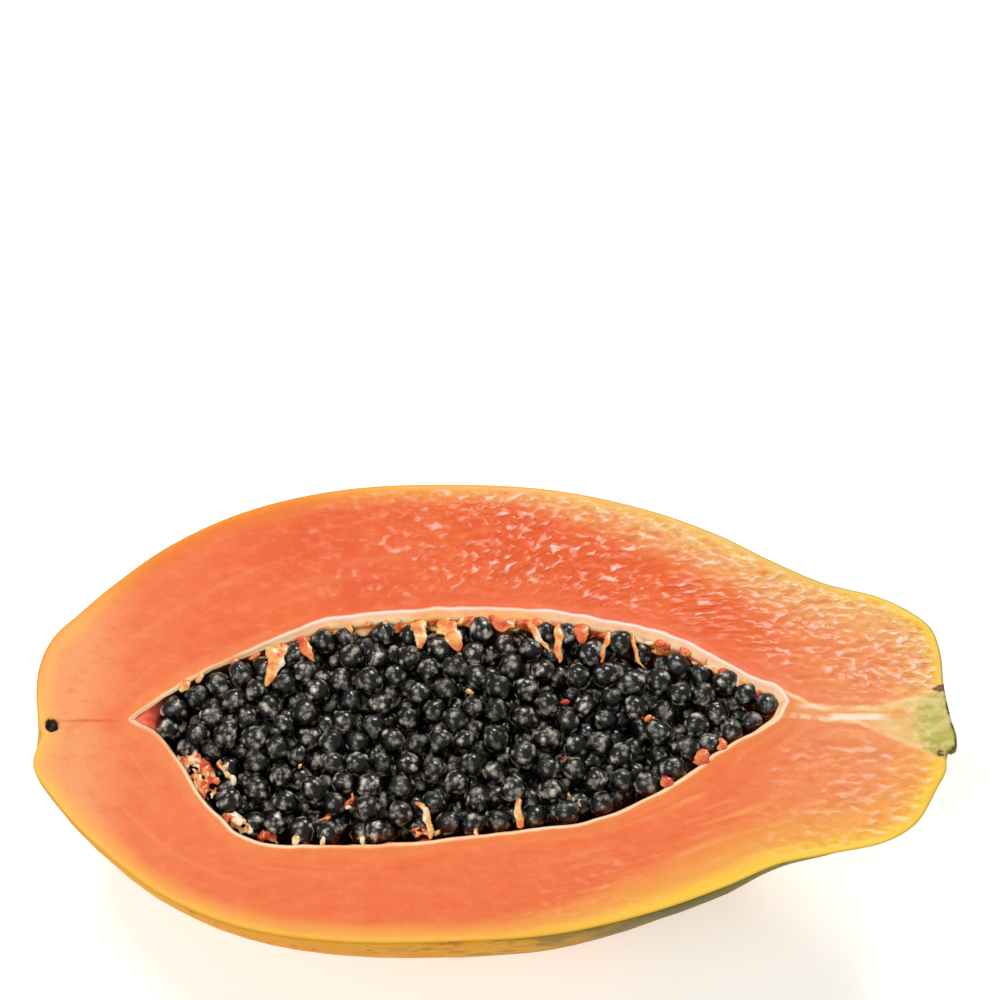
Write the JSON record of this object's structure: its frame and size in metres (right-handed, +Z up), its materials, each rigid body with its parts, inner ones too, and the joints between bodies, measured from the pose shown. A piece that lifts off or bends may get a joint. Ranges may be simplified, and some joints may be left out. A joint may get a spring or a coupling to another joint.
{
  "type": "papaya half",
  "caption": "Half of a ripe papaya cut lengthwise through its stem, lying on its rind, with its open cavity full of round seeds.",
  "frame": {"origin": "on the resting surface, under the middle of the fruit's bounding box", "axes": "+X from the blossom end towards the stem, +Y across the cut face, +Z up, at right angles to the cut face"},
  "size_m": [0.202, 0.1106, 0.0549],
  "materials": {
    "papaya_flesh_and_rind": "wet orange cut flesh, pale round the cavity and yellow towards a thin waxy yellow-green rind",
    "papaya_seeds": "glossy black-brown wrinkled seeds in wet skins, with grey-brown mottles"
  },
  "bodies": {
    "root": {"fruit_half": "papaya_flesh_and_rind", "seed_heap": "papaya_seeds"}
  },
  "joints": []
}
